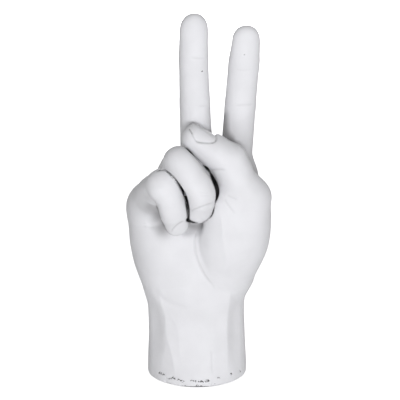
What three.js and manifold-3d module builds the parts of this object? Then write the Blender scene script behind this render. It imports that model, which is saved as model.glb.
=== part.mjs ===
// Hand sculpture: a right hand on its wrist, palm forward, index and middle fingers raised in a V,
// ring and little fingers folded down and the thumb laid across to the middle finger.
// It is a sectional casting. The five digits are butt-jointed to a hollow palm and wrist and pinned
// with steel dowels, the hollow holds a poured ballast, and a plug and a felt close the bottom.
// Millimetres and degrees. +Z is up, the palm faces -Y, the thumb is on the +X side, and the origin
// is the middle of the felt's underside.
import * as THREE from "three";
import { mergeVertices } from "three/addons/utils/BufferGeometryUtils.js";
import Module from "manifold-3d";

// Main sizes of the hand
const WRIST_LENGTH = 53; // from the casting's bottom to the neck of the wrist
const PALM_LENGTH = 80; // from the neck of the wrist to the line of the knuckles
const HAND_BREADTH = 93; // across the palm and the root of the thumb
const HAND_DEPTH = 50; // from palm to back at the neck of the wrist
const FINGER_LENGTH = 97; // middle finger, from the knuckle to the centre of its tip
const FINGER_BREADTH = 20; // across a raised finger

// Base and wall
const FELT_THICKNESS = 1;
const FELT_INSET = 3; // from the casting's edge in to the felt's edge
const WALL = 9; // around the hollow
const LEDGE = 3; // width of the step that the plug seats on
const PLUG_THICKNESS = 6;
const GLUE_GAP = 0.3; // between pieces that are bonded or seated
const CASTING_BOTTOM = FELT_THICKNESS + GLUE_GAP;

// Dowels
const DOWEL_DIAMETER = 5;
const SMALL_DOWEL_DIAMETER = 4;
const DOWEL_CLEARANCE = 0.3; // all round the dowel and at its ends

// Nails stand proud of the finger and stop short of its tip
const NAIL_RISE = 0.5;
const NAIL_SHARE_OF_WIDTH = 0.78;

// Resolution of the round forms
const RING_POINTS = 20;
const DOME_STEPS = 4;
const DOWEL_SIDES = 16;
const MERGE_DISTANCE = 1e-4;

// Levels count along the hand: 0 at the casting's bottom, 1 at the neck of the wrist and 2 at the
// line of the knuckles. Breadths and depths are shares of HAND_BREADTH and HAND_DEPTH.
const HOLLOW_LEVEL = 1.33; // where the hollow's dome starts
const HOLLOW_CROWN = 0.175 * PALM_LENGTH; // height of that dome
const BALLAST_LEVEL = 1; // flat top of the ballast
const PALM_CROWN = 0.1 * PALM_LENGTH; // height of the dome over the last section

// Wrist and palm, from the bottom up: each section's reach to the four sides. The power squares
// the section off: 2 is an ellipse. The lean tips a section up to the thumb side.
const PALM_SECTIONS = [
  { level: 0, left: -0.355, right: 0.353, front: -0.632, back: 0.57, power: 2.05, lean: 0 },
  { level: 0.135, left: -0.357, right: 0.355, front: -0.628, back: 0.57, power: 2.05, lean: 0 },
  { level: 0.462, left: -0.347, right: 0.344, front: -0.55, back: 0.52, power: 2.35, lean: 0 },
  { level: 0.769, left: -0.349, right: 0.335, front: -0.5, back: 0.49, power: 2.4, lean: 0 },
  { level: 1, left: -0.356, right: 0.339, front: -0.5, back: 0.47, power: 2.4, lean: 0 },
  { level: 1.15, left: -0.392, right: 0.36, front: -0.5, back: 0.45, power: 2.4, lean: 0 },
  { level: 1.325, left: -0.435, right: 0.391, front: -0.45, back: 0.44, power: 2.4, lean: 0 },
  { level: 1.512, left: -0.468, right: 0.401, front: -0.39, back: 0.45, power: 2.4, lean: 2 },
  { level: 1.688, left: -0.504, right: 0.4, front: -0.31, back: 0.455, power: 2.4, lean: 5 },
  { level: 1.837, left: -0.48, right: 0.385, front: -0.2, back: 0.45, power: 2.4, lean: 14 },
  { level: 1.945, left: -0.42, right: 0.36, front: -0.08, back: 0.42, power: 2.3, lean: 16 },
];

// Digits. Bones run from the knuckle to each joint and to the tip's centre, and like the root and
// the dowel they are shares of FINGER_LENGTH. Width and depth at the knuckle, at each joint beyond
// it and at the tip's centre, the tip's dome and the nail are shares of FINGER_BREADTH. The splay
// leans the digit towards the thumb side, the lift swings it forward at the knuckle, the roll turns
// its hinge, the bends fold each joint beyond the knuckle, and the sway turns the last bone aside.
// The root is how far from the knuckle the digit is joined to the palm. A metacarpal runs back from
// the knuckle to the wrist.
const CARPAL = { width: 1.3, depth: 1.3 };
const DIGITS = {
  index_finger: {
    knuckle: { x: 0.2645, y: 0.16, level: 1.996 },
    bones: [0.495, 0.28, 0.166],
    width: [1.045, 1, 0.99, 0.89],
    depth: [1.1, 0.925, 0.8, 0.625],
    tip: 0.51,
    nail: 0.625,
    splay: 3.9,
    lift: 1.8,
    roll: 4.7,
    bends: [3.5, 3.1],
    sway: 0,
    metacarpal: { x: 0.108, y: 0.02, level: 1.125, ...CARPAL },
    root: 0.217,
    dowel: { diameter: DOWEL_DIAMETER, into_palm: 0.27, into_digit: 0.52 },
  },
  middle_finger: {
    knuckle: { x: 0.0055, y: 0.16, level: 1.996 },
    bones: [0.501, 0.315, 0.189],
    width: [1.08, 0.98, 0.98, 0.89],
    depth: [1.1, 0.95, 0.8, 0.65],
    tip: 0.6,
    nail: 0.65,
    splay: -1.8,
    lift: 1.8,
    roll: 6,
    bends: [3.3, 3.2],
    sway: -1,
    metacarpal: { x: 0.011, y: 0.04, level: 1.125, ...CARPAL },
    root: 0.217,
    dowel: { diameter: DOWEL_DIAMETER, into_palm: 0.27, into_digit: 0.56 },
  },
  ring_finger: {
    knuckle: { x: -0.161, y: 0.16, level: 1.896 },
    bones: [0.506, 0.271, 0.146],
    width: [1.1, 1.02, 0.95, 0.84],
    depth: [1.1, 0.95, 0.8, 0.65],
    tip: 0.4,
    nail: 0.575,
    splay: 5.8,
    lift: 52.7,
    roll: 44.9,
    bends: [109.9, 48.2],
    sway: 20.8,
    metacarpal: { x: -0.097, y: 0.02, level: 1.125, ...CARPAL },
    root: 0.155,
    dowel: { diameter: SMALL_DOWEL_DIAMETER, into_palm: 0.165, into_digit: 0.205 },
  },
  little_finger: {
    knuckle: { x: -0.323, y: 0.04, level: 1.771 },
    bones: [0.396, 0.173, 0.153],
    width: [1.5, 1.2, 1.02, 0.82],
    depth: [1.5, 0.975, 0.775, 0.625],
    tip: 0.37,
    nail: 0.5,
    splay: 20.6,
    lift: 49.1,
    roll: 40.7,
    bends: [107.9, 39.3],
    sway: -10.4,
    metacarpal: { x: -0.183, y: -0.02, level: 1.125, ...CARPAL },
    root: 0.134,
    dowel: { diameter: SMALL_DOWEL_DIAMETER, into_palm: 0.145, into_digit: 0.155 },
  },
  thumb: {
    knuckle: { x: 0.335, y: -0.26, level: 1.909 },
    bones: [0.309, 0.222],
    width: [1.25, 1.08, 0.98],
    depth: [1.4, 1.15, 0.925],
    tip: 0.475,
    nail: 0.75,
    splay: -26.6,
    lift: 7.7,
    roll: -118.4,
    bends: [35.2],
    sway: 0,
    root: 0.082,
    dowel: { diameter: SMALL_DOWEL_DIAMETER, into_palm: 0.155, into_digit: 0.205 },
  },
};
const FINGERS = ["index_finger", "middle_finger", "ring_finger", "little_finger"];

// The knuckles, the ridge and webs from knuckle to knuckle, the muscle pad at the root of the thumb
// from its heel on the wrist to its neck at the thumb's knuckle, the webs on both sides of it, on
// the palm and on the back, and the pad below the little finger. Shares of FINGER_BREADTH.
const KNUCKLE = { width: 1.3, depth: 1.45 };
const KNUCKLE_BAR = { width: 1.2, depth: 1.45 };
const THENAR = [
  { x: 0.216, y: -0.18, level: 1.259, width: 1.8, depth: 1.5 },
  { x: 0.259, y: -0.206, level: 1.471, width: 2.1, depth: 1.8 },
  { x: 0.3, y: -0.234, level: 1.693, width: 2.18, depth: 1.7 },
  { ...DIGITS.thumb.knuckle, width: 1.5, depth: 1.35 },
];
const PALM_WEB = [
  { x: 0.135, y: -0.16, level: 1.325, width: 1.4, depth: 1.7 },
  { x: 0.14, y: -0.18, level: 1.56, width: 1.6, depth: 1.9 },
  { x: 0.172, y: -0.2, level: 1.8, width: 1.3, depth: 1.5 },
];
const BACK_WEB = [
  { x: 0.285, y: 0.06, level: 1.325, width: 1.15, depth: 1.1 },
  { x: 0.32, y: 0.04, level: 1.69, width: 1.2, depth: 1.1 },
  { x: 0.325, y: 0.08, level: 1.95, width: 1.2, depth: 1.15 },
];
const HYPOTHENAR = [
  { x: -0.2, y: -0.15, level: 1.146, width: 1.55, depth: 1.7 },
  { x: -0.23, y: -0.115, level: 1.371, width: 1.95, depth: 2 },
  { x: -0.275, y: -0.07, level: 1.671, width: 1.75, depth: 1.6 },
];

const wasm = await Module();
wasm.setup();

const ACROSS = new THREE.Vector3(1, 0, 0);
const BACKWARD = new THREE.Vector3(0, 1, 0);
const UP = new THREE.Vector3(0, 0, 1);
const radians = THREE.MathUtils.degToRad;

/** Height of a level along the wrist and palm. */
function heightOf(level) {
  return CASTING_BOTTOM + WRIST_LENGTH * Math.min(level, 1) + PALM_LENGTH * Math.max(level - 1, 0);
}

/** A point of the hand from its shares and its level. */
function place({ x, y, level }) {
  return new THREE.Vector3(x * HAND_BREADTH, y * HAND_DEPTH, heightOf(level));
}

/** One end of a limb segment, with its width and depth in millimetres. */
function limbEnd(at, width, depth, dome = depth / 2) {
  return {
    at,
    width: width * FINGER_BREADTH,
    depth: depth * FINGER_BREADTH,
    dome: dome * FINGER_BREADTH,
  };
}

/** A closed mesh as a solid that can be joined and cut. */
function solidOf(geometry) {
  const bare = geometry.clone();
  bare.deleteAttribute("normal");
  bare.deleteAttribute("uv");
  const merged = mergeVertices(bare, MERGE_DISTANCE);
  return new wasm.Manifold(
    new wasm.Mesh({
      numProp: 3,
      vertProperties: merged.getAttribute("position").array,
      triVerts: new Uint32Array(merged.index.array),
    }),
  );
}

/** The surface of a solid, as a geometry with its own normals. */
function geometryOf(solid) {
  const mesh = solid.getMesh();
  const geometry = new THREE.BufferGeometry();
  geometry.setAttribute("position", new THREE.BufferAttribute(mesh.vertProperties, mesh.numProp));
  geometry.setIndex(new THREE.BufferAttribute(mesh.triVerts, 1));
  geometry.computeVertexNormals();
  return geometry;
}

const join = (solids) => solids.reduce((all, next) => all.add(next));
const cut = (solid, tools) => tools.reduce((left, tool) => left.subtract(tool), solid);

/** One ring of a skin: a superellipse with half axes a along u and b along v. */
function ring(centre, u, v, a, b, power = 2) {
  const bow = (t) => Math.sign(t) * Math.abs(t) ** (2 / power);
  return Array.from({ length: RING_POINTS }, (_, i) => {
    const angle = (2 * Math.PI * i) / RING_POINTS;
    return centre
      .clone()
      .addScaledVector(u, a * bow(Math.cos(angle)))
      .addScaledVector(v, b * bow(Math.sin(angle)));
  });
}

/** A closed skin over rings that turn the same way, from the first pole to the last. */
function skin(firstPole, rings, lastPole) {
  const points = [firstPole, ...rings.flat(), lastPole];
  const last = points.length - 1;
  const at = (row, i) => 1 + row * RING_POINTS + (i % RING_POINTS);
  const faces = [];
  for (let i = 0; i < RING_POINTS; i += 1) {
    faces.push(0, at(0, i + 1), at(0, i));
    faces.push(last, at(rings.length - 1, i), at(rings.length - 1, i + 1));
    for (let row = 0; row + 1 < rings.length; row += 1) {
      faces.push(at(row, i), at(row, i + 1), at(row + 1, i + 1));
      faces.push(at(row, i), at(row + 1, i + 1), at(row + 1, i));
    }
  }
  const geometry = new THREE.BufferGeometry().setFromPoints(points);
  geometry.setIndex(faces);
  return geometry;
}

/** A limb segment: an elliptical tube that tapers between two ends and is domed at both. */
function limb(start, end, hinge, grow = 0) {
  const along = end.at.clone().sub(start.at).normalize();
  const across = hinge.clone().addScaledVector(along, -hinge.dot(along)).normalize();
  const palmar = along.clone().cross(across);
  const section = (side, reach, share) =>
    ring(
      side.at.clone().addScaledVector(along, reach),
      across,
      palmar,
      (side.width / 2 + grow) * share,
      (side.depth / 2 + grow) * share,
    );
  const turns = Array.from({ length: DOME_STEPS }, (_, i) => (i * Math.PI) / 2 / DOME_STEPS);
  const domeAt = (side, way) =>
    turns.map((a) => section(side, way * (side.dome + grow) * Math.sin(a), Math.cos(a)));
  const rings = [...domeAt(start, -1).reverse(), ...domeAt(end, 1)];
  const firstPole = start.at.clone().addScaledVector(along, -(start.dome + grow));
  const lastPole = end.at.clone().addScaledVector(along, end.dome + grow);
  return solidOf(skin(firstPole, rings, lastPole));
}

/** The rings of the wrist and palm up to a level, drawn in by an inset. */
function palmRings(inset, topLevel = 2) {
  return PALM_SECTIONS.filter(({ level }) => level <= topLevel).map((s) =>
    ring(
      place({ x: (s.left + s.right) / 2, y: (s.front + s.back) / 2, level: s.level }),
      ACROSS.clone().applyAxisAngle(BACKWARD, -radians(s.lean)),
      BACKWARD,
      ((s.right - s.left) / 2) * HAND_BREADTH - inset,
      ((s.back - s.front) / 2) * HAND_DEPTH - inset,
      s.power,
    ),
  );
}

/** The middle of a ring. */
function middleOf(points) {
  return points.reduce((sum, p) => sum.add(p), new THREE.Vector3()).divideScalar(points.length);
}

/** A ring drawn towards its middle by a share and lifted. */
function shrunk(points, share, lift) {
  const middle = middleOf(points);
  return points.map((p) => middle.clone().lerp(p, share).addScaledVector(UP, lift));
}

/** A form that stands on a flat first ring and closes over its last one in a dome. */
function domed(rings, height) {
  const last = rings[rings.length - 1];
  const crown = Array.from({ length: DOME_STEPS - 1 }, (_, i) => {
    const angle = ((i + 1) * Math.PI) / 2 / DOME_STEPS;
    return shrunk(last, Math.cos(angle), height * Math.sin(angle));
  });
  const pole = middleOf(last).addScaledVector(UP, height);
  return solidOf(skin(middleOf(rings[0]), [...rings, ...crown], pole));
}

/** A straight prism on the bottom outline, drawn in by an inset, from one height to another. */
function slab(inset, bottom, top) {
  const outline = new THREE.Shape(palmRings(inset, 0)[0].map((p) => new THREE.Vector2(p.x, p.y)));
  const geometry = new THREE.ExtrudeGeometry(outline, { depth: top - bottom, bevelEnabled: false });
  return solidOf(geometry.translate(0, 0, bottom));
}

/** Joint centres, bone directions and hinges of a digit, bent from its knuckle outwards. */
function pose({ knuckle, splay, lift, roll, bends, sway, bones }) {
  const lean = radians(splay);
  const hinge = new THREE.Vector3(Math.cos(lean), 0, -Math.sin(lean));
  const way = new THREE.Vector3(Math.sin(lean), 0, Math.cos(lean)).applyAxisAngle(hinge, radians(lift));
  hinge.applyAxisAngle(way, radians(roll));
  const joints = [place(knuckle)];
  const ways = [];
  const hinges = [];
  bones.forEach((share, i) => {
    if (i) way.applyAxisAngle(hinge, radians(bends[i - 1]));
    if (i === bones.length - 1) {
      const palmward = hinge.clone().cross(way);
      way.applyAxisAngle(palmward, radians(sway));
      hinge.applyAxisAngle(palmward, radians(sway));
    }
    ways.push(way.clone());
    hinges.push(hinge.clone());
    joints.push(joints[i].clone().addScaledVector(way, share * FINGER_LENGTH));
  });
  return { joints, ways, hinges };
}

/** A nail: the last bone's form, a little larger, inside an oval column on the back of the tip. */
function nail(length, way, hinge, start, end) {
  const back = way.clone().cross(hinge).normalize();
  const halfWidth = (end.width * NAIL_SHARE_OF_WIDTH) / 2;
  const outline = new THREE.Shape().absellipse(0, 0, halfWidth, length / 2, 0, 2 * Math.PI);
  const column = new THREE.ExtrudeGeometry(outline, {
    depth: start.depth,
    bevelEnabled: false,
    curveSegments: RING_POINTS / 2,
  });
  const middle = end.at.clone().addScaledVector(way, end.dome / 2 - length / 4);
  const turn = new THREE.Matrix4().makeBasis(way.clone().cross(back), way, back);
  column.applyMatrix4(turn.setPosition(middle));
  return limb(start, end, hinge, NAIL_RISE).intersect(solidOf(column));
}

/** Everything that is worked out for one digit before the pieces are cut to each other. */
function layOut(name) {
  const spec = DIGITS[name];
  const { joints, ways, hinges } = pose(spec);
  const last = ways.length;
  const ends = joints.map((at, i) =>
    limbEnd(at, spec.width[i], spec.depth[i], i === last ? spec.tip : undefined),
  );
  const bonesGrownBy = (grow) => hinges.map((hinge, i) => limb(ends[i], ends[i + 1], hinge, grow));
  const way = ways[0];
  const joint = joints[0].clone().addScaledVector(way, spec.root * FINGER_LENGTH);
  const offset = joint.dot(way);
  const nailLength = spec.nail * FINGER_BREADTH;
  const ownNail = nail(nailLength, ways[last - 1], hinges[last - 1], ends[last - 1], ends[last]);
  const whole = join([...bonesGrownBy(0), ownNail]);
  return {
    name,
    way,
    joint,
    dowel: {
      radius: spec.dowel.diameter / 2,
      into_palm: spec.dowel.into_palm * FINGER_LENGTH,
      into_digit: spec.dowel.into_digit * FINGER_LENGTH,
    },
    knuckle: ends[0],
    stump: limb(ends[0], ends[1], hinges[0]).trimByPlane(way.clone().negate().toArray(), -offset),
    body: whole.trimByPlane(way.toArray(), offset + GLUE_GAP),
    room: join(bonesGrownBy(NAIL_RISE + GLUE_GAP)).trimByPlane(way.toArray(), offset),
  };
}

/** A digit's dowel, set along its root, grown all round and at both ends. */
function rod({ joint, way, dowel }, grow = 0) {
  const radius = dowel.radius + grow;
  const length = dowel.into_palm + dowel.into_digit + 2 * grow;
  const shape = new THREE.CylinderGeometry(radius, radius, length, DOWEL_SIDES);
  const mesh = new THREE.Mesh(shape);
  mesh.position.copy(joint).addScaledVector(way, (dowel.into_digit - dowel.into_palm) / 2);
  mesh.quaternion.setFromUnitVectors(BACKWARD, way);
  mesh.updateMatrix();
  return mesh;
}

/** The hole that a digit's dowel sits in. */
function bore(digit) {
  const mesh = rod(digit, DOWEL_CLEARANCE);
  return solidOf(mesh.geometry.applyMatrix4(mesh.matrix));
}

const painted = new THREE.MeshStandardMaterial({ color: 0xe8e8ea, roughness: 0.75, metalness: 0 });
const steel = new THREE.MeshStandardMaterial({ color: 0x9a9c9e, roughness: 0.4, metalness: 1 });
const cement = new THREE.MeshStandardMaterial({ color: 0x8d8b86, roughness: 0.95, metalness: 0 });
const board = new THREE.MeshStandardMaterial({ color: 0xa98d68, roughness: 0.9, metalness: 0 });
const felt = new THREE.MeshStandardMaterial({ color: 0x3a3c3d, roughness: 1, metalness: 0 });

const hand = new THREE.Group();
hand.name = "hand_sculpture";

function addPiece(name, solid, material) {
  const mesh = new THREE.Mesh(geometryOf(solid), material.clone());
  mesh.name = name;
  hand.add(mesh);
}

const digits = Object.keys(DIGITS).map(layOut);
const bores = digits.map(bore);

// Palm and wrist: a skin over the sections, with metacarpals, knuckles, muscle pads and finger stumps
const fingers = digits.filter(({ name }) => FINGERS.includes(name));
const metacarpals = fingers.map(({ name, knuckle }) => {
  const wristEnd = DIGITS[name].metacarpal;
  const knuckleEnd = limbEnd(knuckle.at, KNUCKLE.width, KNUCKLE.depth);
  return limb(limbEnd(place(wristEnd), wristEnd.width, wristEnd.depth), knuckleEnd, ACROSS);
});
const barEnds = fingers.map(({ knuckle }) =>
  limbEnd(knuckle.at, KNUCKLE_BAR.width, KNUCKLE_BAR.depth),
);
const knuckleBars = barEnds.slice(1).map((end, i) => limb(end, barEnds[i], UP));
const pads = [THENAR, PALM_WEB, BACK_WEB, HYPOTHENAR].flatMap((pad) => {
  const padEnds = pad.map((end) => limbEnd(place(end), end.width, end.depth));
  return padEnds.slice(1).map((end, i) => limb(padEnds[i], end, ACROSS));
});
const stumps = digits.map(({ stump }) => stump);
const outside = join([
  domed(palmRings(0), PALM_CROWN),
  ...metacarpals,
  ...knuckleBars,
  ...pads,
  ...stumps,
]);

// The hollow opens downwards into a wider pocket for the plug
const hollowRings = palmRings(WALL, HOLLOW_LEVEL);
const hollow = domed([shrunk(hollowRings[0], 1, -GLUE_GAP), ...hollowRings], HOLLOW_CROWN);
const plugTop = CASTING_BOTTOM + PLUG_THICKNESS;
const pocket = slab(WALL - LEDGE, CASTING_BOTTOM - GLUE_GAP, plugTop + GLUE_GAP);
const rooms = digits.map(({ room }) => room);
addPiece("palm_shell", cut(outside, [hollow, pocket, ...rooms, ...bores]), painted);

// Digits: each is cut clear of those set before it and bored for its dowel
digits.forEach(({ name, body }, i) => {
  addPiece(name, cut(body, [...rooms.slice(0, i), bores[i]]), painted);
});

// Dowels
digits.forEach((digit) => {
  const mesh = rod(digit);
  mesh.name = `${digit.name}_dowel`;
  mesh.material = steel.clone();
  hand.add(mesh);
});

// Ballast, plug and felt
const ballastRings = palmRings(WALL + GLUE_GAP, BALLAST_LEVEL);
const ballastTop = middleOf(ballastRings[ballastRings.length - 1]);
const poured = solidOf(skin(middleOf(ballastRings[0]), ballastRings, ballastTop));
addPiece("ballast", poured.trimByPlane([0, 0, 1], plugTop + GLUE_GAP), cement);
addPiece("base_plug", slab(WALL - LEDGE + GLUE_GAP, CASTING_BOTTOM, plugTop), board);
addPiece("base_felt", slab(FELT_INSET, 0, FELT_THICKNESS), felt);

export default hand;
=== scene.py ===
# %% [markdown]
# # A painted plaster hand
# The object is a white hand that stands on its cut-off wrist and makes a V sign. This lesson builds
# the surface that is seen: one smooth skin with creases, nails and worn edges, cut into the same
# pieces as the casting. The frame holds the solid pieces, in metres, and everything is placed on it.

# %% Load the frame
import math

import bpy
import numpy as np
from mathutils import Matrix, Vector


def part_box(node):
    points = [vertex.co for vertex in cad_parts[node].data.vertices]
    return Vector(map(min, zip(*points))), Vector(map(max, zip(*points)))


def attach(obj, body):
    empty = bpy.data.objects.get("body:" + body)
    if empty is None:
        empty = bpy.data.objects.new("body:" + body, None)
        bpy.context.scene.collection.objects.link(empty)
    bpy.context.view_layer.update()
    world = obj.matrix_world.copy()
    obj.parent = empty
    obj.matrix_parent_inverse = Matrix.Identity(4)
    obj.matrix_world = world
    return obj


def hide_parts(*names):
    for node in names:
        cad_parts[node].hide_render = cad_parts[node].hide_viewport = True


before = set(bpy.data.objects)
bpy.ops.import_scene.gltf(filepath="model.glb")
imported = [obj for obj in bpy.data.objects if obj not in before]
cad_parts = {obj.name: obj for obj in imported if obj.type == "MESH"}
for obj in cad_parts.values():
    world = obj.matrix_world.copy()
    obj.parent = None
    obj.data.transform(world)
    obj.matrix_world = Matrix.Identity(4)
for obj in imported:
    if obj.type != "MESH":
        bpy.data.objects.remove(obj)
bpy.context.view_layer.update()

MM = 0.001

# %% [markdown]
# ## The camera
# The photograph looks slightly down on the palm from straight ahead, through a long lens. A long
# lens is a camera far away with a narrow angle, so the picture has little perspective. The angle
# follows from the frame's side and the focal length, both counted in pixels.

# %% Camera
PHOTO_SIDE = 400
FOCAL_PIXELS = 1534
AIM = np.array([1.9, 0.0, 120.0])
CAMERA_RANGE = 1000.0
CAMERA_TILT = math.radians(17)

camera = bpy.data.objects.new("photo_camera", bpy.data.cameras.new("photo_camera"))
bpy.context.scene.collection.objects.link(camera)
camera.data.sensor_fit = "HORIZONTAL"
camera.data.angle = 2 * math.atan(PHOTO_SIDE / 2 / FOCAL_PIXELS)
to_camera = np.array([0, -math.cos(CAMERA_TILT), math.sin(CAMERA_TILT)])
camera.location = (AIM + CAMERA_RANGE * to_camera) * MM
camera.rotation_euler = (math.pi / 2 - CAMERA_TILT, 0, 0)
bpy.context.scene.camera = camera
print("lens angle in degrees:", round(math.degrees(camera.data.angle), 2))

# %% [markdown]
# ## The bones
# A hand is easiest to pose as a chain of bones. Each digit starts at its knuckle, leans sideways by
# its splay, swings forward by its lift and turns its hinge by its roll. Every joint beyond the
# knuckle then bends about that one hinge, and the last bone may sway aside. Lengths are in
# millimetres and angles in degrees. They are close to the sizes of the solid pieces, and follow the
# photograph where the two differ by a pixel or two.

# %% Digits
DIGITS = {
    "index_finger": dict(
        knuckle=(24.6, 8, 134), bones=(48, 27.2, 16.1),
        splay=3.9, lift=1.8, roll=4.7, bends=(3.5, 3.1), sway=0,
        width=(20.9, 20, 19.8, 17.8), depth=(22, 18.5, 16, 12.5), tip=10.2, root=21,
        round=(3, 3), swell=0, root_melt=9,
    ),
    "middle_finger": dict(
        knuckle=(0.3, 8, 134), bones=(48.6, 30.6, 18.3),
        splay=-2, lift=1.8, roll=6, bends=(3.3, 3.2), sway=-2.5,
        width=(22.2, 19.6, 18.8, 18.1), depth=(22, 19, 16, 13), tip=11.6, root=21,
        round=(3, 3), swell=0, root_melt=9,
    ),
    "ring_finger": dict(
        knuckle=(-15, 8, 126), bones=(49.4, 26.3, 14.2),
        splay=7, lift=52.3, roll=44.7, bends=(110.4, 47.4), sway=19.9,
        width=(25, 18.6, 18.6, 16.8), depth=(22, 19.4, 16, 13), tip=8, root=15,
        round=(5, 6), swell=4, root_melt=9,
    ),
    "little_finger": dict(
        knuckle=(-30, 2, 116), bones=(39.5, 17.4, 15),
        splay=21.8, lift=48.1, roll=42.1, bends=(109.5, 39.1), sway=-8.9,
        width=(26, 25, 18.6, 15.4), depth=(26, 19.5, 15.5, 12.5), tip=7.4, root=13,
        round=(3, 5), swell=3.8, root_melt=9.5,
    ),
    "thumb": dict(
        knuckle=(31.2, -13, 127), bones=(29.5, 21.8),
        splay=-27.7, lift=7.8, roll=-120.8, bends=(32.8,), sway=0,
        width=(24, 21.6, 19.6), depth=(28, 21.4, 18.5), tip=9.5, root=8,
        round=(6,), swell=0, root_melt=6,
    ),
}


def turned(vector, axis, degrees):
    """Rodrigues' turn: the part along the axis stays, the rest swings about it."""
    angle = math.radians(degrees)
    swung = vector * math.cos(angle) + np.cross(axis, vector) * math.sin(angle)
    return swung + axis * (axis @ vector) * (1 - math.cos(angle))


def bent(spec):
    """Joint centres, bone directions and hinges: each bone is the one before, turned by its bend."""
    lean = math.radians(spec["splay"])
    hinge = np.array([math.cos(lean), 0, -math.sin(lean)])
    way = turned(np.array([math.sin(lean), 0, math.cos(lean)]), hinge, spec["lift"])
    hinge = turned(hinge, way, spec["roll"])
    joints, ways, hinges = [np.array(spec["knuckle"], float)], [], []
    last = len(spec["bends"])
    for i, (length, bend) in enumerate(zip(spec["bones"], (0, *spec["bends"]))):
        way = turned(way, hinge, bend)
        if i == last:
            nail_axis = np.cross(hinge, way)
            way = turned(way, nail_axis, spec["sway"])
            hinge = turned(hinge, nail_axis, spec["sway"])
        ways.append(way)
        hinges.append(hinge)
        joints.append(joints[-1] + length * way)
    return dict(joints=joints, ways=ways, hinges=hinges)


POSES = {name: bent(spec) for name, spec in DIGITS.items()}

# %% [markdown]
# ## A field instead of a mesh
# A folded hand isn't one sheet over two parameters: fingers branch off the palm and press against
# it. A distance field handles that. It is a number at every point of space, negative inside and
# positive outside, and the skin lies where it is zero. Two fields melt into one with a soft
# minimum, so flesh flows from the palm into a finger with no seam, while pieces that only touch
# keep a sharp crease.

# %% Fields
def melt(a, b, reach):
    """Soft minimum: the smaller of two fields, lowered where they come within reach of each other."""
    near = np.clip(1 - np.abs(a - b) / reach, 0, 1)
    return np.minimum(a, b) - near * near * reach / 4


def eased(value, low, high):
    """A smooth step: 0 up to low, 1 from high on, and a cubic without a corner between them."""
    t = np.clip((value - low) / (high - low), 0, 1)
    return t * t * (3 - 2 * t)


FAR = 16.0


def profile(share, values):
    """A smooth curve through evenly spaced values: cubic pieces with central differences as slopes."""
    values = np.asarray(values, float)
    slopes = np.gradient(values)
    place = share * (len(values) - 1)
    i = np.minimum(place.astype(int), len(values) - 2)
    t = place - i
    rise = (values[i + 1] - values[i]) * t * t * (3 - 2 * t)
    return values[i] + rise + slopes[i] * t * (1 - t) ** 2 - slopes[i + 1] * t * t * (1 - t)


def limb(points, start, end, hinge, widths, depths, domes, power=2.0):
    """Distance to a limb: a rounded tube between two joints, domed at both ends.

    The offsets across, deep and beyond the ends are divided by the half axes. The power mean k of
    the three is 1 on the skin, and k - 1 over the length of its slope is the distance. Far from the
    limb, where no melt reaches, the distance to its axis less its largest radius is close enough.
    """
    way = end - start
    length = np.linalg.norm(way)
    way = way / length
    offset = points - start
    inner = np.clip(offset @ way, 0, length)
    from_axis = np.linalg.norm(offset - inner[:, None] * way, axis=1)
    distance = from_axis - max(*widths, *depths, *domes) / 2
    close = distance < FAR
    across = hinge - way * (hinge @ way)
    across = across / np.linalg.norm(across)
    offset, inner = offset[close], inner[close]
    share = inner / length
    beyond = offset @ way - inner
    offsets = np.abs(np.stack([offset @ across, offset @ np.cross(across, way), beyond]))
    dome = np.where(beyond < 0, domes[0], domes[1])
    axes = np.stack([profile(share, widths) / 2, profile(share, depths) / 2, dome])
    scaled = np.maximum(offsets / axes, 1e-6)
    k = (scaled**power).sum(0) ** (1 / power)
    slope = np.sqrt((((scaled / k) ** (power - 1) / axes) ** 2).sum(0))
    distance[close] = (k - 1) / slope
    return distance


FINGER_POWER = 2.12
BEND_STEPS = 4
JOINT_MELT = 0.4


def path_of(name):
    """The stops of a digit: place, width, depth and hinge, with each joint rounded to a parabola.

    A joint's corner is replaced by the curve (1-t)^2 A + 2t(1-t) J + t^2 B between the points A and
    B that lie one bend radius before and after it.
    """
    spec, pose = DIGITS[name], POSES[name]
    joints, ways, hinges = pose["joints"], pose["ways"], pose["hinges"]
    stops = [(joints[0], spec["width"][0], spec["depth"][0], hinges[0])]
    for i in range(1, len(ways)):
        before = joints[i] - spec["round"][i - 1] * ways[i - 1]
        after = joints[i] + spec["round"][i - 1] * ways[i]
        for t in np.linspace(0, 1, BEND_STEPS + 1):
            place = (1 - t) ** 2 * before + 2 * t * (1 - t) * joints[i] + t * t * after
            hinge = (1 - t) * hinges[i - 1] + t * hinges[i]
            stops.append((place, spec["width"][i], spec["depth"][i], hinge))
    stops.append((joints[-1], spec["width"][-1], spec["depth"][-1], hinges[-1]))
    return stops


PATHS = {name: path_of(name) for name in DIGITS}


def bones_of(points, name):
    """The distance to each stretch of a digit's path, from the knuckle outwards."""
    spec, stops = DIGITS[name], PATHS[name]
    domes = [stop[2] / 2 for stop in stops[:-1]] + [spec["tip"]]
    stretches = []
    for i, (a, b) in enumerate(zip(stops, stops[1:])):
        swell = spec["swell"] if i == 0 else 0
        widths = (a[1], (a[1] + b[1]) / 2 + swell, b[1])
        depths = (a[2], (a[2] + b[2]) / 2 + swell, b[2])
        stretches.append(limb(points, a[0], b[0], a[3], widths, depths, domes[i : i + 2], FINGER_POWER))
    return stretches


# %% [markdown]
# ## Palm and wrist
# The palm and wrist are a stack of rounded sections. Between the measured heights the reach to each
# side is interpolated and then smoothed with a running mean, so no section shows as a step. Flat
# facets are cut on the wrist, and the bones of the palm, the knuckles and the muscle pads melt in.

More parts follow.
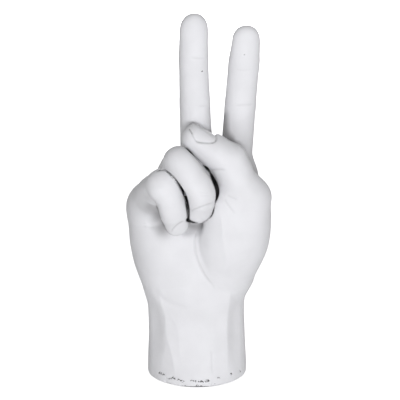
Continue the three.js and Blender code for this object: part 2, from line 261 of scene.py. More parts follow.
# %% Palm and wrist
CASTING_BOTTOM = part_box("palm_shell")[0][2] / MM
RIM_MELT = 1.2
SECTION_HEIGHTS = (1.3, 8.5, 25.8, 42.1, 54.3, 66.3, 80.3, 95.3, 109.3, 121.3)
SECTION_LEFT = (-33, -33.2, -32.2, -32.4, -32.8, -35.8, -39.6, -42.1, -42.1, -37.6)
SECTION_RIGHT = (32.8, 33, 31.9, 31.1, 31.4, 33.4, 36.2, 37.2, 37, 36)
SECTION_FRONT = (-31.6, -31.4, -27.5, -25, -25, -25, -22.5, -19.5, -15.5, -10)
SECTION_BACK = (28.4, 28.4, 26, 24.5, 23.5, 22.5, 22, 22, 21.8, 20.2)
SECTION_LEAN = (0, 0, 0, 0, 0, 0, 0, 2, 5, 14)
BASE_POWER, SECTION_POWER = 2.05, 2.4
BASE_HEIGHTS = (10.0, 30.0)
PALM_CROWN = 13.0
PALM_MIDDLE = -3.5
FACET_WAYS = ((0.838, 0.545, 1.012), (0.0, 1.0, 0.985))
FACET_FADE = (44.0, 92.0)
FACET_EASE = 0.12
FACET_MELT = 0.03
TABLE_STEP = 0.5
table_heights = np.arange(-10, 140, TABLE_STEP)


def smoothed(values, spread=6.0):
    """A reach over height: straight between the sections, then averaged over the spread, twice."""
    row = np.interp(table_heights, SECTION_HEIGHTS, values)
    window = np.ones(int(spread / TABLE_STEP) | 1)
    window /= window.sum()
    margin = len(window) // 2
    for _ in range(2):
        row = np.convolve(np.pad(row, margin, mode="edge"), window, mode="valid")
    return row


palm_table = [smoothed(row) for row in (SECTION_LEFT, SECTION_RIGHT, SECTION_FRONT, SECTION_BACK)]


def palm_stack(points):
    """Distance to the stacked sections: offsets over half axes give k, and the ray from the middle
    meets the skin at 1 / k of its length. Above the last section, height joins in as a dome. On the
    wrist, flat facets cut the front and the corners off: k is at least an offset over its reach."""
    x, y = points[:, 0], points[:, 1]
    lean = np.tan(np.radians(np.interp(points[:, 2], SECTION_HEIGHTS, SECTION_LEAN)))
    z = points[:, 2] - lean * (x - PALM_MIDDLE)
    left, right, front, back = [np.interp(z, table_heights, row) for row in palm_table]
    u = (2 * x - left - right) / (right - left)
    v = (2 * y - front - back) / (back - front)
    w = np.maximum(z - SECTION_HEIGHTS[-1], 0) / PALM_CROWN
    power = BASE_POWER + (SECTION_POWER - BASE_POWER) * eased(z, *BASE_HEIGHTS)
    k = (np.abs(np.stack([u, v, w])) ** power).sum(0) ** (1 / power)
    fade = FACET_EASE * eased(points[:, 2], *FACET_FADE)
    for across, deep, reach in FACET_WAYS:
        k = -melt(-k, -(across * np.abs(u) + deep * np.abs(v)) / (reach + fade), FACET_MELT)
    half_axes = np.stack([(right - left) / 2, (back - front) / 2, np.full(len(x), PALM_CROWN)])
    ray = np.linalg.norm(np.stack([u, v, w]) * half_axes, axis=0)
    return ray * (1 - 1 / np.maximum(k, 1e-3))


ACROSS = np.array([1.0, 0, 0])
UPWARD = np.array([0, 0, 1.0])
WRIST_ENDS = {
    "index_finger": (10, 1, 64.3),
    "middle_finger": (1, 2, 64.3),
    "ring_finger": (-9, 1, 64.3),
    "little_finger": (-17, -1, 64.3),
}
FINGERS = tuple(WRIST_ENDS)
CARPAL_SIZE = 26
KNUCKLE_BAR = (23, 22, 19)
BAR_TAPER = 2
BONE_MELT = 10
THENAR = dict(heel=(20.2, -9, 75), neck=(31.8, -13, 127), widths=(33, 43, 41, 32), depths=(29, 36, 34, 26))
HYPOTHENAR = dict(
    heel=(-18, -7, 66), neck=(-25, -3, 108), widths=(23, 33, 34, 30), depths=(28, 38, 36, 28), power=2.3
)
WEB = dict(heel=(13, -8, 80), neck=(16, -10, 118), widths=(24, 28, 28, 26), depths=(29, 34, 34, 30))
HYPOTHENAR_MELT = 12
THENAR_MELT = (2.5, 12)
THENAR_SIDES = (18, 34)
WEB_MELT = 12


def muscle(points, heel, neck, widths, depths, power=2.0):
    """Distance to a muscle pad of the palm: a limb from the heel to the neck with a swelling profile."""
    ends = np.array(heel, float), np.array(neck, float)
    return limb(points, *ends, ACROSS, widths, depths, (depths[0] / 2, depths[-1] / 2), power)


def palm(points):
    """Distance to the palm and wrist: sections, metacarpals and knuckles, melted together."""
    body = palm_stack(points)
    knuckles = [np.array(DIGITS[name]["knuckle"], float) for name in FINGERS]
    for name, knuckle in zip(FINGERS, knuckles):
        width, depth = DIGITS[name]["width"][0], DIGITS[name]["depth"][0]
        wrist_end = np.array(WRIST_ENDS[name], float)
        bone = limb(
            points, wrist_end, knuckle, ACROSS,
            (CARPAL_SIZE, width), (CARPAL_SIZE, depth), (CARPAL_SIZE / 2, depth / 2),
        )
        body = melt(body, bone, BONE_MELT)
    for a, b, thick in zip(knuckles, knuckles[1:], KNUCKLE_BAR):
        heights, depths = (thick, thick + BAR_TAPER), (thick - BAR_TAPER, thick)
        bar = limb(points, b, a, UPWARD, heights, depths, (thick / 2, thick / 2))
        body = melt(body, bar, BONE_MELT)
    body = melt(body, muscle(points, **HYPOTHENAR), HYPOTHENAR_MELT)
    crease_side, outer_side = THENAR_MELT
    outer_share = eased(points[:, 0], *THENAR_SIDES)
    thenar = melt(muscle(points, **THENAR), muscle(points, **WEB), WEB_MELT)
    return melt(body, thenar, crease_side + (outer_side - crease_side) * outer_share)


# %% [markdown]
# ## Lines in the photograph
# Some places are only known from the photograph: where a gap between two fingers runs, and later
# where the skin folds. They are given as lines in its pixels. A point of the hand is sent through
# the same lens, and its gap to the line is measured in the picture.

# %% Photo lines
PIXEL = CAMERA_RANGE / FOCAL_PIXELS
CURVE_STEPS = 24


def photo_place(points):
    """Where points land in the photograph, in pixels: offsets over the depth, times the focal length."""
    offset = points - AIM
    depth = CAMERA_RANGE - offset @ to_camera
    up = np.array([0, math.sin(CAMERA_TILT), math.cos(CAMERA_TILT)])
    middle = PHOTO_SIDE / 2
    return middle + FOCAL_PIXELS * offset[:, 0] / depth, middle - FOCAL_PIXELS * (offset @ up) / depth


def line_gap(stops, x, y):
    """Gap in pixels from places in the photograph to a smooth line, and the share along the line."""
    share = np.linspace(0, 1, CURVE_STEPS)
    line_x, line_y = [profile(share, row) for row in np.transpose(stops)]
    gap, place = np.full(len(x), np.inf), np.zeros(len(x))
    for i in range(CURVE_STEPS - 1):
        dx, dy = line_x[i + 1] - line_x[i], line_y[i + 1] - line_y[i]
        t = np.clip(((x - line_x[i]) * dx + (y - line_y[i]) * dy) / (dx * dx + dy * dy), 0, 1)
        here = np.hypot(x - line_x[i] - t * dx, y - line_y[i] - t * dy)
        place = np.where(here < gap, (i + t) / (CURVE_STEPS - 1), place)
        gap = np.minimum(gap, here)
    return gap, place


print("one pixel on the hand in mm:", round(PIXEL, 3))

# %% [markdown]
# ## The whole hand
# Each digit's first bone melts softly into the palm. The folded bones are only set against it, with
# a very small melt, because there the real casting has sharp dark creases. The thumb's knuckle
# stands out on its back, the thumb is cut flat above its nail, and the ring finger is flat where the
# thumb presses on it. Where the photograph shows black between two digits, a gap is cut open along
# its line.

# %% Hand field
TOUCH_MELT = 0.8
ROOT_NEAR, ROOT_FAR = 12.0, 32.0
PLATE = dict(turn=38, height=7.8, taper=0.05, root=11.9, edge=2.2)
THUMB_KNUCKLE = np.array([(25.3, -17, 155.1), (27.8, -15, 147.6)])
KNUCKLE_DEEP = (15, 15)
KNUCKLE_THICK = (11, 11)
KNUCKLE_DOMES = (5.5, 5.5)
KNUCKLE_MELT = 6.0
DEEP = np.array([0, 1.0, 0])


def egg(points, middle, radii):
    """Distance to an egg shape: offsets over the radii, less one, times the smallest radius."""
    return (np.linalg.norm((points - middle) / np.array(radii), axis=1) - 1) * min(radii)


def plate_cut(points):
    """Distance to what is cut off above the thumb's nail: over a flat plane, from the root to the tip."""
    pose = POSES["thumb"]
    way, offset = pose["ways"][-1], points - pose["joints"][-1]
    back = -np.cross(turned(pose["hinges"][-1], way, PLATE["turn"]), way)
    above = offset @ back - PLATE["height"] + PLATE["taper"] * (offset @ way)
    return np.maximum(-above, points[:, 0] - PLATE["root"])


RING_FLANK = (182.5, 145.2), (203.5, 165.8)
FLANK_EDGE = 1.6


def flank_cut(points):
    """Distance to what lies right of a line in the photograph, where the thumb presses the ring finger.

    It is the offset across the straight line, in millimetres.
    """
    x, y = photo_place(points)
    (x0, y0), (x1, y1) = RING_FLANK
    across = (x - x0) * (y1 - y0) - (y - y0) * (x1 - x0)
    return -across / math.hypot(x1 - x0, y1 - y0) * PIXEL


def digit(points, name):
    """Distance to a whole digit, and how far its flesh melts: widely at the knuckle, hardly beyond."""
    stretches = bones_of(points, name)
    chain = stretches[0]
    for stretch in stretches[1:]:
        chain = melt(chain, stretch, JOINT_MELT)
    if name == "thumb":
        bump = limb(points, *THUMB_KNUCKLE, DEEP, KNUCKLE_DEEP, KNUCKLE_THICK, KNUCKLE_DOMES)
        chain = melt(chain, bump, KNUCKLE_MELT)
        chain = -melt(-chain, plate_cut(points), PLATE["edge"])
    if name == "ring_finger":
        chain = -melt(-chain, flank_cut(points), FLANK_EDGE)
    away = np.linalg.norm(points - POSES[name]["joints"][0], axis=1)
    reach = DIGITS[name]["root_melt"]
    return chain, reach + (TOUCH_MELT - reach) * eased(away, ROOT_NEAR, ROOT_FAR)


# Each gap: its depth, its half widths in pixels, how dark its painted shadow is, and its line.
GAPS = (
    dict(
        back=1,
        half=(0.4, 1.2, 0.7, 1.4, 1.9, 2.0, 1.3, 0.3),
        dark=(0.9, 1, 0.8, 1, 1, 0.8, 0.5, 0.3),
        stops=[(203.5, 165.4), (207, 168.3), (209.8, 172), (212, 176.5),
               (215, 183), (217.3, 190), (217, 197), (214.8, 203)],
    ),
    dict(
        back=-6,
        half=(0.3, 0.4, 0.4, 0.4, 0.6, 1.0, 1.4, 1.0, 0.7, 1.0),
        dark=(0.6, 0.85, 0.95, 0.85, 0.85, 1, 1, 0.85, 0.6, 0.95),
        stops=[(157, 171.2), (162, 170.2), (167.5, 171.4), (172.5, 175.6), (177.5, 181.9),
               (182, 189), (185, 195.5), (187.6, 203), (189, 211), (188.2, 218.8)],
    ),
    dict(
        back=-8,
        half=(1.6, 0.7, 0.2),
        dark=(1, 0.75, 0.5),
        stops=[(187.6, 220), (192, 221.8), (197.5, 222.6)],
    ),
)
GAP_EDGE = 0.6
GAP_MARGIN = 6
GAP_SHADE = (-0.35, 0.25)
HOLLOWS = (
    dict(middle=(-25.5, -21, 115), radii=(6, 8, 9)),
    dict(middle=(-4.5, -18, 109), radii=(7, 6, 6)),
)
HOLLOW_EDGE = 4.0


def slot(points, x, y, back, half, dark, stops):
    """Distance to a gap, half a width to each side of a line in the photograph and as deep as back.

    The other results are how much a place lies in the gap, from 0 to 1, and how dark the
    painted shadow is there.
    """
    low, high = np.min(stops, 0) - GAP_MARGIN, np.max(stops, 0) + GAP_MARGIN
    near = (x > low[0]) & (x < high[0]) & (y > low[1]) & (y < high[1]) & (points[:, 1] < back + FAR)
    distance = np.full(len(points), FAR)
    within = np.zeros(len(points))
    shade = np.zeros(len(points))
    gap, place = line_gap(stops, x[near], y[near])
    beside = (gap - profile(place, half)) * PIXEL
    distance[near] = np.maximum(beside, points[near, 1] - back)
    within[near] = eased(-beside, *GAP_SHADE)
    shade[near] = profile(place, dark) * within[near]
    return distance, within, shade


def flesh(points):
    """Distance to the palm, hollowed beside the folded fingertips, with every digit melted into it."""
    whole = palm(points)
    for place in HOLLOWS:
        whole = -melt(-whole, egg(points, **place), HOLLOW_EDGE)
    for name in DIGITS:
        chain, reach = digit(points, name)
        whole = melt(whole, chain, reach)
    return whole


def hand(points):
    """Distance to the whole hand: the flesh with its gaps cut open and its bottom cut off flat."""
    whole = flesh(points)
    x, y = photo_place(points)
    for gap in GAPS:
        whole = -melt(-whole, slot(points, x, y, **gap)[0], GAP_EDGE)
    return -melt(-whole, points[:, 2] - CASTING_BOTTOM, RIM_MELT)


# %% [markdown]
# ## From field to mesh
# Surface nets turn the field into a mesh. Space is cut into small cubes, and each cube that the
# skin passes through gets one vertex at the mean of the points where the skin crosses its edges.
# Each grid edge that the skin crosses gives one quad between its four cubes. A coarse pass first
# finds where the skin is, so the fine grid is only worked out near it.

# %% Surface nets
CELL = 0.72
COARSE = 4
NEAR_CELLS = 1.5
CUBE = [np.array(corner) for corner in np.ndindex(2, 2, 2)]
LEAST_SLOPE = 0.2
LONGEST_MOVE = 0.5
GRID_MARGIN = 3


def batched(field, points, size=60000):
    """The field at many points, worked out a batch at a time to keep the memory small."""
    return np.concatenate([field(points[i : i + size]) for i in range(0, len(points), size)])


def window(grid, corner, shape):
    """The part of a grid that starts at a corner and has the given shape."""
    i, j, k = corner
    return grid[i : i + shape[0], j : j + shape[1], k : k + shape[2]]


def enlarged(grid):
    """A coarse grid with every cell repeated along the three axes."""
    for axis in range(3):
        grid = np.repeat(grid, COARSE, axis)
    return grid


def sampled(field, low, high):
    """The field on a fine grid: exact near the skin, and only its sign elsewhere."""
    count = np.ceil((high - low) / (CELL * COARSE)).astype(int)
    axes = [low[i] + np.arange(count[i] + 1) * CELL * COARSE for i in range(3)]
    nodes = np.stack(np.meshgrid(*axes, indexing="ij"), -1)
    rough = batched(field, nodes.reshape(-1, 3)).reshape(nodes.shape[:3])
    near = np.abs(rough) < NEAR_CELLS * CELL * COARSE
    cells = np.zeros(count, bool)
    for corner in CUBE:
        cells |= window(near, corner, count)
    fine = enlarged(cells)
    wanted = np.zeros(np.array(fine.shape) + 1, bool)
    for corner in CUBE:
        part = window(wanted, corner, fine.shape)
        part |= fine
    values = enlarged(np.sign(rough[:-1, :-1, :-1]))
    values = np.pad(values, ((0, 1),) * 3, mode="edge")
    index = np.argwhere(wanted)
    values[wanted] = batched(field, low + index * CELL)
    return values


def surface_net(values, low):
    """Vertices and quads of the zero surface of a sampled field."""
    inside = values < 0
    shape = np.array(values.shape) - 1
    total = np.zeros(shape, np.int8)
    for corner in CUBE:
        total += window(inside, corner, shape)
    crossed = (total > 0) & (total < 8)
    cells = np.argwhere(crossed)
    number = np.full(shape, -1)
    number[crossed] = np.arange(len(cells))
    at = [values[tuple((cells + corner).T)] for corner in CUBE]
    sums = np.zeros((len(cells), 3))
    hits = np.zeros(len(cells))
    pairs = [(a, b) for a in range(8) for b in range(a + 1, 8)]
    for a, b in [(a, b) for a, b in pairs if np.abs(CUBE[a] - CUBE[b]).sum() == 1]:
        cross = (at[a] < 0) != (at[b] < 0)
        t = np.where(cross, at[a] / np.where(cross, at[a] - at[b], 1), 0)
        sums += np.where(cross[:, None], CUBE[a] + t[:, None] * (CUBE[b] - CUBE[a]), 0)
        hits += cross
    vertices = low + CELL * (cells + sums / hits[:, None])
    quads = []
    for axis in range(3):
        second, third = (axis + 1) % 3, (axis + 2) % 3
        step = np.eye(3, dtype=int)
        first = np.delete(inside, -1, axis)
        after = np.delete(inside, 0, axis)
        edges = np.argwhere(first != after)
        inner = (edges[:, second] > 0) & (edges[:, third] > 0)
        inner &= (edges[:, second] < shape[second]) & (edges[:, third] < shape[third])
        edges = edges[inner]
        outward = first[tuple(edges.T)]
        around = [edges - step[second] - step[third], edges - step[third], edges, edges - step[second]]
        ring = np.stack([number[tuple(cell.T)] for cell in around], 1)
        quads.append(np.where(outward[:, None], ring, ring[:, ::-1]))
    return vertices, np.concatenate(quads)


def gradient(field, points, step=0.05):
    """Slope of the field by differences along each axis."""
    return np.stack(
        [(batched(field, points + step * axis) - batched(field, points - step * axis)) / (2 * step)
         for axis in np.eye(3)], 1
    )


def settled(field, points, rounds=2):
    """Newton's step: moves each vertex along the slope by the distance that is left."""
    for _ in range(rounds):
        slope = gradient(field, points)
        steep = np.maximum((slope**2).sum(1), LEAST_SLOPE)
        move = -batched(field, points)[:, None] * slope / steep[:, None]
        longest = np.maximum(np.linalg.norm(move, axis=1) / (LONGEST_MOVE * CELL), 1)
        points = points + move / longest[:, None]
    return points


boxes = np.array([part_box(node) for node in ("palm_shell", *DIGITS)]) / MM
grid_low = boxes[:, 0].min(0) - GRID_MARGIN
grid_high = boxes[:, 1].max(0) + GRID_MARGIN
smooth_points, skin_quads = surface_net(sampled(hand, grid_low, grid_high), grid_low)
smooth_points = settled(hand, smooth_points)
outward = gradient(hand, smooth_points)
outward /= np.linalg.norm(outward, axis=1, keepdims=True)
print("skin:", len(smooth_points), "vertices,", len(skin_quads), "quads")

# %% [markdown]
# ## Which piece is where
# The real hand is cast in six sections: the palm with the wrist, and five digits. Every point of
# the skin belongs to the digit that is nearest to it, if it lies beyond that digit's root, and
# otherwise to the palm. The creases that follow are carved into one piece only, and later the skin
# is cut along these borders.

# %% Owners
PIECES = ("palm_shell", *DIGITS)


def owners(points):
    """The piece that each point lies on, as its place in PIECES: the smallest distance wins."""
    nearest = [palm(points)]
    for name, spec in DIGITS.items():
        pose = POSES[name]
        stretches = bones_of(points, name)
        height = (points - pose["joints"][0]) @ pose["ways"][0] - spec["root"]
        nearest[0] = np.minimum(nearest[0], np.where(height > 0, FAR, stretches[0]))
        first = np.where(height > 0, stretches[0], FAR)
        nearest.append(np.minimum(first, np.min(stretches[1:], axis=0)))
    return np.argmin(nearest, axis=0)


skin_owner = batched(owners, smooth_points)
print("vertices by piece:", dict(zip(PIECES, np.bincount(skin_owner).tolist())))

# %% [markdown]
# ## Creases
# Skin folds where it bends. The folds of the palm side are lines in the photograph too, and a
# vertex's gap to the line sets how deep it is pressed in. This could be a bump in the material, but
# a carved fold also shows in the exported mesh. Painted shade darkens most folds, and along a few
# more lines painted shadow darkens what lies deeper than the fingers.

# %% Crease lines
GRAZING = 0.1
FOLD_REACH = 4
FOLD_ENDS = (-0.02, 0.2)
photo_x, photo_y = photo_place(smooth_points)
in_view = outward @ to_camera > GRAZING
dent = np.zeros(len(smooth_points))
painted_shade = np.zeros(len(smooth_points))


def fold(piece, depth, half_width, stops, shade_amount=0.0):
    """Presses a line into a piece: depth * exp(-(gap / half_width)^2), fading out at both ends."""
    chosen = np.flatnonzero(in_view & (skin_owner == PIECES.index(piece)))
    reach = FOLD_REACH * half_width
    low, high = np.min(stops, 0) - reach, np.max(stops, 0) + reach
    x, y = photo_x[chosen], photo_y[chosen]
    chosen = chosen[(x > low[0]) & (x < high[0]) & (y > low[1]) & (y < high[1])]
    gap, place = line_gap(stops, photo_x[chosen], photo_y[chosen])
    shape = np.exp(-((gap / half_width) ** 2)) * eased(np.minimum(place, 1 - place), *FOLD_ENDS)
    dent[chosen] += depth * shape
    # painted shade along the fold
    painted_shade[chosen] = np.maximum(painted_shade[chosen], shade_amount * shape)


# Each fold: its piece, its depth in mm, its half width in pixels, its line and its painted shade.
FOLDS = (
    ("middle_finger", 0.35, 0.9, [(190, 58), (198, 58.8), (206, 58)], 0.1),
    ("middle_finger", 0.3, 0.9, [(198, 106.5), (204, 106), (209, 105)], 0.1),
    ("index_finger", 0.35, 1.0, [(234, 106), (244, 105), (254, 104.5)], 0.12),
    ("index_finger", 0.2, 0.8, [(236, 70), (244, 70.5), (252, 69.5)], 0.05),
    ("thumb", 0.45, 0.9, [(209, 170.5), (217, 169.8), (226, 169.8)], 0.2),
    ("palm_shell", 0.4, 0.9, [(226, 195), (232, 197.5), (238, 200)], 0.12),
    ("palm_shell", 0.35, 1.0, [(224, 198), (228, 205), (236, 214)], 0.12),
    ("palm_shell", 0.45, 0.9, [(138, 207.6), (146, 207.6), (153, 207.2), (158, 206.5)], 0.15),
    ("palm_shell", 0.35, 0.8, [(142, 223.2), (148, 223), (156, 222.5)], 0.1),
    ("palm_shell", 0.35, 0.8, [(142, 226.6), (148, 226.8), (155, 226.5)], 0.1),
    ("palm_shell", 0.5, 1.0, [(197.5, 226), (194.5, 240), (196.5, 256), (204, 274), (216, 289)], 0.22),
    ("palm_shell", 0.5, 3.0, [(153, 288), (160, 297), (170, 304), (188, 309)], 0.0),
    ("palm_shell", 0.25, 0.9, [(210.5, 349), (211.5, 357), (212, 368), (212.5, 375)], 0.1),
    ("ring_finger", 0.25, 0.8, [(199, 192.5), (204, 193), (209, 192.5)], 0.05),
    ("ring_finger", 0.2, 0.8, [(200, 195.5), (205, 196), (210, 195.5)], 0.05),
    ("ring_finger", 0.35, 0.7, [(190.5, 213.5), (193, 210), (200, 207.4), (207, 204.6),
                                (213.5, 202.5)], 0.3),
    ("little_finger", 0.35, 0.7, [(171.5, 233), (172.6, 229.5), (176.5, 225.5), (181, 222.5),
                                  (185, 221)], 0.3),
    ("thumb", 0.5, 0.7, [(194.5, 139.5), (197.5, 142.2), (206, 143.2), (212.5, 142.8), (216, 140.6),
                         (216.6, 136)], 0.75),
    ("thumb", 0.3, 0.6, [(191, 132), (193, 136.5), (196, 141.5)], 0.35),
    ("thumb", 0.35, 0.6, [(188.6, 128.5), (190.3, 131), (192.8, 135)], 0.9),
    ("palm_shell", 0.35, 4.0, [(232.5, 308), (232, 325), (232, 345), (233, 366)], 0.0),
)
for line in FOLDS:
    fold(*line)
print("folds:", len(FOLDS), "deepest dent in mm:", round(float(dent.max()), 2))


SHADE_EASE = 1.5


def shade_line(behind, half_width, stops, shade_amount):
    """Painted shadow on what lies deeper than the fingers: shade_amount * exp(-(gap / half_width)^2)."""
    gap, _ = line_gap(stops, photo_x, photo_y)
    deep = eased(smooth_points[:, 1], behind - SHADE_EASE, behind)
    return in_view * deep * shade_amount * np.exp(-((gap / half_width) ** 2))


# Painted shadow in shaded hollows: the depth where it starts, half width in pixels, line, darkness.
SHADE_LINES = (
    (-27, 8.0, [(151, 207), (156, 212), (159, 220), (164, 230)], 0.58),
    (-29, 2.0, [(157, 207), (160, 212), (161.5, 218), (164, 225)], 0.85),
    (-32, 5.0, [(148, 198), (152, 202), (156, 206)], 0.3),
    (-20, 4.5, [(184, 223), (190, 225), (196, 226), (202, 225)], 0.7),
    (-45, 0.8, [(215, 204), (213.6, 210), (211.3, 215), (207, 220), (203, 222.3)], 0.6),
    (-8, 19.0, [(228, 138), (238, 147), (248, 159), (256, 172)], 0.38),
    (-8, 6.0, [(222.5, 117), (224, 125), (226, 132), (231, 139)], 0.8),
)
for line in SHADE_LINES:
    painted_shade = np.maximum(painted_shade, shade_line(*line))
print("painted_shade_lines:", len(SHADE_LINES))

# %% [markdown]
# ## Ridges
# The wrist and the ball of the thumb were left with the flat planes of the modeller's knife. Where
# two planes meet, a low ridge is raised: highest on its line, with a corner there and soft feet.

# %% Ridges
RIDGE_ENDS = (-0.02, 0.15)


def ridge(height, half_width, stops):
    """Raises a line of the palm: height * (1 - gap / half_width)^2, fading out at both ends."""
    chosen = np.flatnonzero(in_view & (skin_owner == PIECES.index("palm_shell")))
    gap, place = line_gap(stops, photo_x[chosen], photo_y[chosen])
    shape = np.clip(1 - gap / half_width, 0, 1) ** 2 * eased(np.minimum(place, 1 - place), *RIDGE_ENDS)
    dent[chosen] -= height * shape


RIDGES = (
    (0.75, 10, [(156, 288), (162, 305), (166, 318), (166.5, 334), (170, 347), (174, 363), (175.5, 380)]),
    (0.3, 8, [(169, 312), (177, 328), (179, 342), (180.5, 360)]),
    (0.6, 9, [(231, 286), (228.5, 305), (226.5, 325), (227, 350), (228, 376)]),
    (0.35, 6, [(240, 300), (239.5, 325), (240, 350), (241, 372)]),
    (0.3, 5, [(221, 216), (222.5, 232), (224, 246), (225, 262)]),
    (0.6, 12, [(219, 208), (222, 224), (223, 242), (226, 258), (222, 274)]),
)
for line in RIDGES:
    ridge(*line)
print("ridges:", len(RIDGES))

# %% [markdown]
# ## Nails
# A nail is a curved plate that lies in the skin: a groove runs round its root and its sides, and
# its free edge stands a little proud of the fingertip. In the frame of the last bone it is an oval
# in two directions, along the bone and across it. One formula makes the nails that show as plates.
# On the two folded fingers only the fold at the nail's root shows, and it is one of the lines above.

# %% Nails
NAILS = {
    "index_finger": dict(root=-4.5, edge=9.0, width=12.6, turn=0, groove=0.55),
    "middle_finger": dict(root=-4.5, edge=9.5, width=13, turn=0, groove=0.55),
    "thumb": dict(root=-9.5, edge=9.0, width=16.5, turn=14, groove=0),
}
GROOVE_WIDTH = 0.08
NAIL_RISE = 0.25
NAIL_POWER = 2.6
NAIL_BACK = (0.05, 0.35)
NAIL_BEVEL = 0.12
NAIL_SHADE = 0.35


def nail_dent(name, root, edge, width, turn, groove):
    """Groove along the oval k = 1 at its root and sides, and a plate that rises towards its edge."""
    pose = POSES[name]
    way, hinge = pose["ways"][-1], turned(pose["hinges"][-1], pose["ways"][-1], turn)
    back = -np.cross(hinge, way)
    offset = smooth_points - pose["joints"][-1]
    along, across = offset @ way, offset @ hinge
    middle, half = (root + edge) / 2, (edge - root) / 2
    shares = np.abs(np.stack([(along - middle) / half, across * 2 / width]))
    k = (shares**NAIL_POWER).sum(0) ** (1 / NAIL_POWER)
    on_back = (skin_owner == PIECES.index(name)) * eased(outward @ back, *NAIL_BACK)
    to_edge = eased(along, middle, edge)
    line = groove * np.exp(-(((k - 1) / GROOVE_WIDTH) ** 2)) * (1 - to_edge)
    plate = eased(1 - k, 0, NAIL_BEVEL) * NAIL_RISE * (0.3 + 0.7 * to_edge)
    return on_back * (line - plate), on_back * line


for name, spec in NAILS.items():
    pressed, shade = nail_dent(name, **spec)
    dent += pressed
    # painted shade in the groove round the nail
    painted_shade = np.maximum(painted_shade, NAIL_SHADE * shade)
print("nails:", len(NAILS))

# %% [markdown]
# ## Unevenness and chips
# Plaster isn't perfectly smooth. A slow unevenness of a few hundredths of a millimetre keeps the
# large planes from looking like plastic, and the rim at the bottom has lost small chips. Both come
# from value noise: random numbers on a lattice, blended smoothly between its corners. The scuffs
# that the photograph shows are short lines in its pixels again.

# %% Unevenness
LATTICE = 32
SLOW_HEIGHT, SLOW_SIZE = 0.09, 11.0
FINE_HEIGHT, FINE_SIZE = 0.035, 4.0
RIM_HEIGHT, RIM_EASE = 3.2, 2.4
CHIP_SIZES = (2.6, 1.1)
CHIP_EDGE = (0.55, 0.9)
CHIP_DEPTH, CHIP_WEAR = 0.6, 0.25
SPOT_DEPTH = 0.4


def grain(points, size, seed):
    """Value noise from -1 to 1: lattice numbers weighted by smooth steps towards the eight corners."""
    lattice = np.random.default_rng(seed).uniform(-1, 1, (LATTICE, LATTICE, LATTICE))
    place = points / size
    cell = np.floor(place).astype(int)
    t = place - cell
    t = t * t * (3 - 2 * t)
    total = np.zeros(len(points))
    for corner in CUBE:
        weight = np.prod(np.where(corner, t, 1 - t), axis=1)
        total += weight * lattice[tuple(((cell + corner) % LATTICE).T)]
    return total


slow, fine = grain(smooth_points, SLOW_SIZE, 1), grain(smooth_points, FINE_SIZE, 2)
dent += SLOW_HEIGHT * slow + FINE_HEIGHT * fine
rim = eased(CASTING_BOTTOM + RIM_HEIGHT - smooth_points[:, 2], 0, RIM_EASE)
rough_edge = grain(smooth_points, CHIP_SIZES[0], 3) + 0.5 * grain(smooth_points, CHIP_SIZES[1], 4)
chip = rim * eased(rough_edge, *CHIP_EDGE)
dent += CHIP_DEPTH * chip
worn = CHIP_WEAR * chip
WEAR = (
    (0.9, 1.1, [(159, 372.8), (162, 373.6), (164, 375)]),
    (0.6, 1.0, [(167, 378.3), (171, 378.6)]),
    (0.8, 1.0, [(172.5, 377.2), (175, 378.6), (177.5, 379.6)]),
    (1.0, 1.1, [(178.5, 380), (181, 381), (183.5, 381.8)]),
    (0.8, 0.9, [(190.5, 380.6), (192.5, 380.8)]),
    (1.0, 1.0, [(193.6, 381.2), (195.6, 381.4)]),
    (1.0, 1.0, [(198.5, 381.3), (203, 381.6), (208.6, 380.6)]),
    (1.0, 0.8, [(208, 383.5), (209, 383.5)]),
    (0.5, 0.8, [(212, 384), (215, 384)]),
    (0.5, 1.0, [(217.5, 377.8), (221, 377.6)]),
    (1.0, 0.8, [(231.2, 373.6), (231.6, 374.6)]),
    (0.7, 0.7, [(240, 370.5), (240.3, 372)]),
    (0.5, 0.8, [(182, 386), (186, 386.3)]),
    (0.5, 0.8, [(196, 386), (202, 385.8)]),
    (1.0, 0.7, [(202, 71), (202.3, 71.4)]),
    (1.0, 0.7, [(244.4, 55), (244.6, 55.4)]),
)
for amount, half_width, stops in WEAR:
    gap, _ = line_gap(stops, photo_x, photo_y)
    spot = in_view * np.exp(-((gap / half_width) ** 2))
    dent += SPOT_DEPTH * amount * spot
    worn = np.maximum(worn, amount * spot)
skin_points = smooth_points - dent[:, None] * outward
print("chipped share of the rim:", round(float((chip * rim).sum() / rim.sum()), 3))

# %% [markdown]
# ## How deep the gaps are
# Between the folded fingers no light reaches the bottom of the gaps, and that shade is painted into
# the colour. The field already knows how open a place is: one step along the normal, the distance
# should have grown by one step. Where it has grown less, something is near, and painted shade
# darkens it. A gap that was cut open has the painted shadow that its line was given instead.

# %% Crevices
def crowding(points, steps=(1.0, 2.0, 4.0)):
    """Mean shortfall of the distance: 0 on an open surface, 1 where the way out is blocked."""
    short = [np.clip(1 - batched(hand, points + step * outward) / step, 0, 1.5) for step in steps]
    return np.mean(short, axis=0)


crowded = crowding(smooth_points)
gap_shadow = np.zeros(len(smooth_points))
for gap in GAPS:
    _, within, shade = slot(smooth_points, photo_x, photo_y, **gap)
    crowded *= 1 - within
    gap_shadow = np.maximum(gap_shadow, shade)
print("crowded share of the skin:", round(float((crowded > 0.6).mean()), 3))

# %% [markdown]
# ## Cutting the skin into its pieces
# The six sections share their border vertices, so no seam shows, as on the painted original. Each
# cut leaves open rims. A fan of triangles from every rim to a point deep inside the hand, a few
# steps down the field's slope from the rim's middle, closes them out of sight.
# The normals of the whole skin are kept, so the shading runs on over the borders.

# %% Pieces
def vertex_normals(points, quads):
    """Mean of the face normals round each vertex: half the cross product of every quad's diagonals."""
    a, b, c, d = (points[quads[:, i]] for i in range(4))
    face = np.cross(c - a, d - b)
    total = np.stack(
        [np.bincount(quads.ravel(), np.repeat(face[:, i], 4), len(points)) for i in range(3)], 1
    )
    return total / np.maximum(np.linalg.norm(total, axis=1, keepdims=True), 1e-9)


